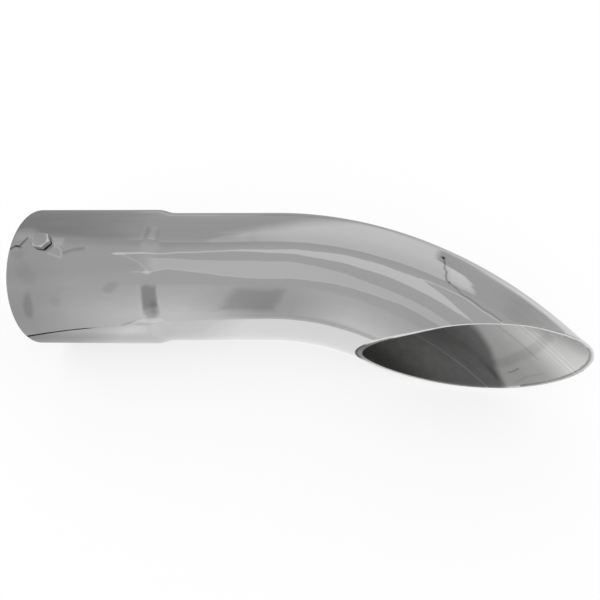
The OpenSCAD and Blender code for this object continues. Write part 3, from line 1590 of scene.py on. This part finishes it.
@dataclass
class Studio:
    """The pale floor, the soft room and the camera. In metres, apart from the lens.

    Attributes:
        floor_height: height of the floor.
        floor_size: the floor's width.
        camera_place: where the camera stands.
        camera_right: the camera's own X.
        camera_up: its own Y.
        camera_back: its own Z, away from what it looks at.
        lens: the focal length, for a sensor 36 mm wide.
        shift: the lens's shift.
        plain_light: the room's brightness as the object's plain light.
        floor_lift: how much of the floor's white to the camera is its own.
        lamp_place: where the lamp hangs.
        lamp_aim: the point that it faces.
        lamp_size: its diameter.
        lamp_power: its power in watts.
    """

    floor_height: float = -0.0302
    floor_size: float = 6.0
    camera_place: tuple[float, float, float] = (0.11821, -0.12014, 0.17374)
    camera_right: tuple[float, float, float] = (0.9993, 0.0239, -0.0301)
    camera_up: tuple[float, float, float] = (-0.0022, 0.8183, 0.5748)
    camera_back: tuple[float, float, float] = (0.0384, -0.5743, 0.8177)
    lens: float = 28.227
    shift: tuple[float, float] = (0.0205, -0.0442)
    plain_light: float = 0.94
    floor_lift: float = 0.7
    lamp_place: tuple[float, float, float] = (-0.35, -0.25, 1.5)
    lamp_aim: tuple[float, float, float] = (0.11, 0.0, 0.0)
    lamp_size: float = 1.4
    lamp_power: float = 2.6

    def camera(self) -> None:
        """Places the camera at the photograph's viewing angle."""
        data = bpy.data.cameras.new("studio_camera")
        data.sensor_width, data.lens = 36.0, self.lens
        data.shift_x, data.shift_y = self.shift
        data.clip_start, data.clip_end = 0.005, 50.0
        camera = bpy.data.objects.new("studio_camera", data)
        turn = Matrix((self.camera_right, self.camera_up, self.camera_back)).transposed().to_4x4()
        camera.matrix_world = Matrix.Translation(Vector(self.camera_place)) @ turn
        bpy.context.scene.collection.objects.link(camera)
        bpy.context.scene.camera = camera

    def floor(self) -> None:
        """Lays the pale floor. Polished metal sees a white sheet on a grey table there."""
        mesh = bmesh.new()
        lift = Matrix.Translation(Vector((0.1, 0.0, self.floor_height)))
        bmesh.ops.create_grid(mesh, x_segments=1, y_segments=1, size=self.floor_size / 2.0, matrix=lift)
        floor = finished_object(mesh, "studio_floor")
        material = bpy.data.materials.new("studio_floor")
        material.use_nodes = True
        sheet = NodeSheet(material.node_tree)
        x, y, _ = sheet.parts(sheet.node("ShaderNodeTexCoord").outputs["Object"])
        mirrored = self.mirrored_floor(x / MM, y / MM)
        path = sheet.node("ShaderNodeLightPath")
        white = (1.0, 1.0, 1.0, 1.0)
        plain = sheet.node("ShaderNodeBsdfDiffuse", None, {"Color": white})
        glow = sheet.node("ShaderNodeEmission", None, {"Color": white, "Strength": 1.0})
        lifted = Link(sheet, path.outputs["Is Camera Ray"]) * self.floor_lift
        shown = sheet.node("ShaderNodeMixShader", None, {0: lifted, 1: plain.outputs[0], 2: glow.outputs[0]})
        seen = sheet.node("ShaderNodeEmission", None, {"Color": sheet.grey(mirrored), "Strength": 1.0})
        mix = {0: path.outputs["Is Glossy Ray"], 1: shown.outputs[0], 2: seen.outputs[0]}
        shader = sheet.node("ShaderNodeMixShader", None, mix)
        sheet.node("ShaderNodeOutputMaterial", None, {"Surface": shader.outputs[0]})
        floor.data.materials.append(material)

    @staticmethod
    def mirrored_floor(x: Link, y: Link) -> Link:
        """How bright polished metal sees the floor: the table before the sheet's edge, the sheet behind it.

        Args:
            x: the place along X, in mm.
            y: the place along Y, in mm.

        Returns:
            The brightness, where 1 is white.
        """
        front = x.along_stops(
            [(-60, 10), (-19, -41), (-1, -65), (17, -83), (55, -109), (95, -128), (300, -190)]
        )
        on_sheet = (y - front).rise(-0.8, 1.0)
        hem = abs(y - front).rise(3.4, 1.5) * (0.03 + x.rise(9.0, 1.0) * 0.68)
        sheet_tone = x.along_stops(
            [(-15, 0.52), (10, 0.70), (28, 0.96), (48, 0.86), (66, 0.90), (85, 1.08), (140, 1.10)]
        )
        sheet_tone = sheet_tone * (1.0 - y.rise(-62.0, -38.0) * x.rise(66.0, 20.0) * 0.25)
        view = (x - 118.0) / (167.0 - y)
        table_tone = view.along_stops(
            [
                (-0.60, 0.50), (-0.52, 0.59), (-0.466, 0.66), (-0.41, 0.74), (-0.35, 0.79),
                (-0.277, 0.84), (-0.20, 0.77), (-0.15, 0.65), (-0.10, 0.57), (0.0, 0.57),
            ]
        )
        table_tone = table_tone + (y - front).rise(-45.0, -5.0) * x.rise(50.0, 80.0) * 0.12
        before = table_tone + (sheet_tone - table_tone) * on_sheet - hem
        behind = x.along_stops(
            [
                (-70, 0.28), (-27, 0.34), (5, 0.40), (138, 0.42), (190, 0.52),
                (220, 0.62), (260, 0.72), (290, 0.82), (310, 0.92),
            ]
        )
        return (before + (behind - before) * y.rise(8.0, 34.0)).most(0.03)

    def lamp(self) -> None:
        """Hangs a large soft lamp over the floor, which polished metal doesn't see."""
        data = bpy.data.lights.new("soft_lamp", "AREA")
        data.shape, data.size, data.energy = "DISK", self.lamp_size, self.lamp_power
        lamp = bpy.data.objects.new("soft_lamp", data)
        lamp.location = self.lamp_place
        away = Vector(self.lamp_place) - Vector(self.lamp_aim)
        lamp.rotation_euler = away.to_track_quat("Z", "Y").to_euler()
        lamp.visible_glossy = False
        bpy.context.scene.collection.objects.link(lamp)

    def room(self) -> None:
        """Fills the world: white to the camera, plain light on the object, grey walls in its mirror."""
        world = bpy.data.worlds.new("studio_room")
        world.use_nodes = True
        bpy.context.scene.world = world
        sheet = NodeSheet(world.node_tree)
        glow = self.mirrored_room(*sheet.parts(sheet.node("ShaderNodeTexCoord").outputs["Generated"]))
        path = sheet.node("ShaderNodeLightPath")
        glossy = Link(sheet, path.outputs["Is Glossy Ray"])
        camera = Link(sheet, path.outputs["Is Camera Ray"])
        strength = self.plain_light + (1.0 - self.plain_light) * camera + (glow - self.plain_light) * glossy
        back = sheet.node("ShaderNodeBackground", None, {"Color": sheet.grey(strength), "Strength": 1.0})
        sheet.node("ShaderNodeOutputWorld", None, {"Surface": back.outputs[0]})

    @staticmethod
    def mirrored_room(x: Link, y: Link, z: Link) -> Link:
        """How bright polished metal sees the room's walls and ceiling.

        Args:
            x: the X of the way that it looks.
            y: the Y of it.
            z: the Z of it.

        Returns:
            The brightness, where 1 is white.
        """
        to_degrees = 180.0 / math.pi
        bearing = y.math("ARCTAN2", x) * to_degrees
        wall = bearing.along_stops(
            [
                (-180, 0.49), (-140, 0.50), (-126, 0.57), (-98, 0.57), (-60, 0.53), (0, 0.50), (34, 0.54),
                (44, 0.54), (48, 0.49), (53, 0.52), (62, 0.50), (80, 0.48), (93, 0.46), (101, 0.41),
                (108, 0.33), (126, 0.32), (140, 0.36), (150, 0.47), (180, 0.49),
            ]
        )
        rise = z.math("ARCSINE") * to_degrees
        over = 0.55 + x.rise(-0.45, 0.35) * 0.04
        high = rise.along_stops([(36, 0.0), (48, 0.42), (62, 0.60), (72, 1.0)])
        low_front = rise.rise(32.0, -18.0) * y.rise(0.0, -0.4) * 0.08
        return wall + low_front + (over - wall) * high

    def build(self) -> None:
        """Makes the camera, the floor, the panels, the lamp and the room."""
        self.camera()
        self.floor()
        BackPanel("back_panel", distance=150.0, middle=160.0, height=270.0, half=300.0).build()
        FrontPanel("front_panel", distance=-344.0, middle=-70.0, height=270.0, half=300.0).build()
        self.lamp()
        self.room()


def main() -> None:
    """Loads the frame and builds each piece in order."""
    logging.basicConfig(level=logging.INFO, format="%(name)s: %(message)s")
    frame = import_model()
    scene = bpy.context.scene
    scene.view_settings.view_transform = "Standard"
    Studio().build()
    maker = TipTube()
    tube = maker.build()
    maker.drill(tube)
    maker.dress(tube)
    LOG.info("%s: %d faces", tube.name, len(tube.data.polygons))
    bolt_maker = SetBolt(place=maker.bolt_turn())
    bolt = bolt_maker.build(frame["nodes"]["set_bolt"])
    bolt_maker.dress(bolt)
    LOG.info("%s: %d faces", bolt.name, len(bolt.data.polygons))


if __name__ == "__main__":
    main()
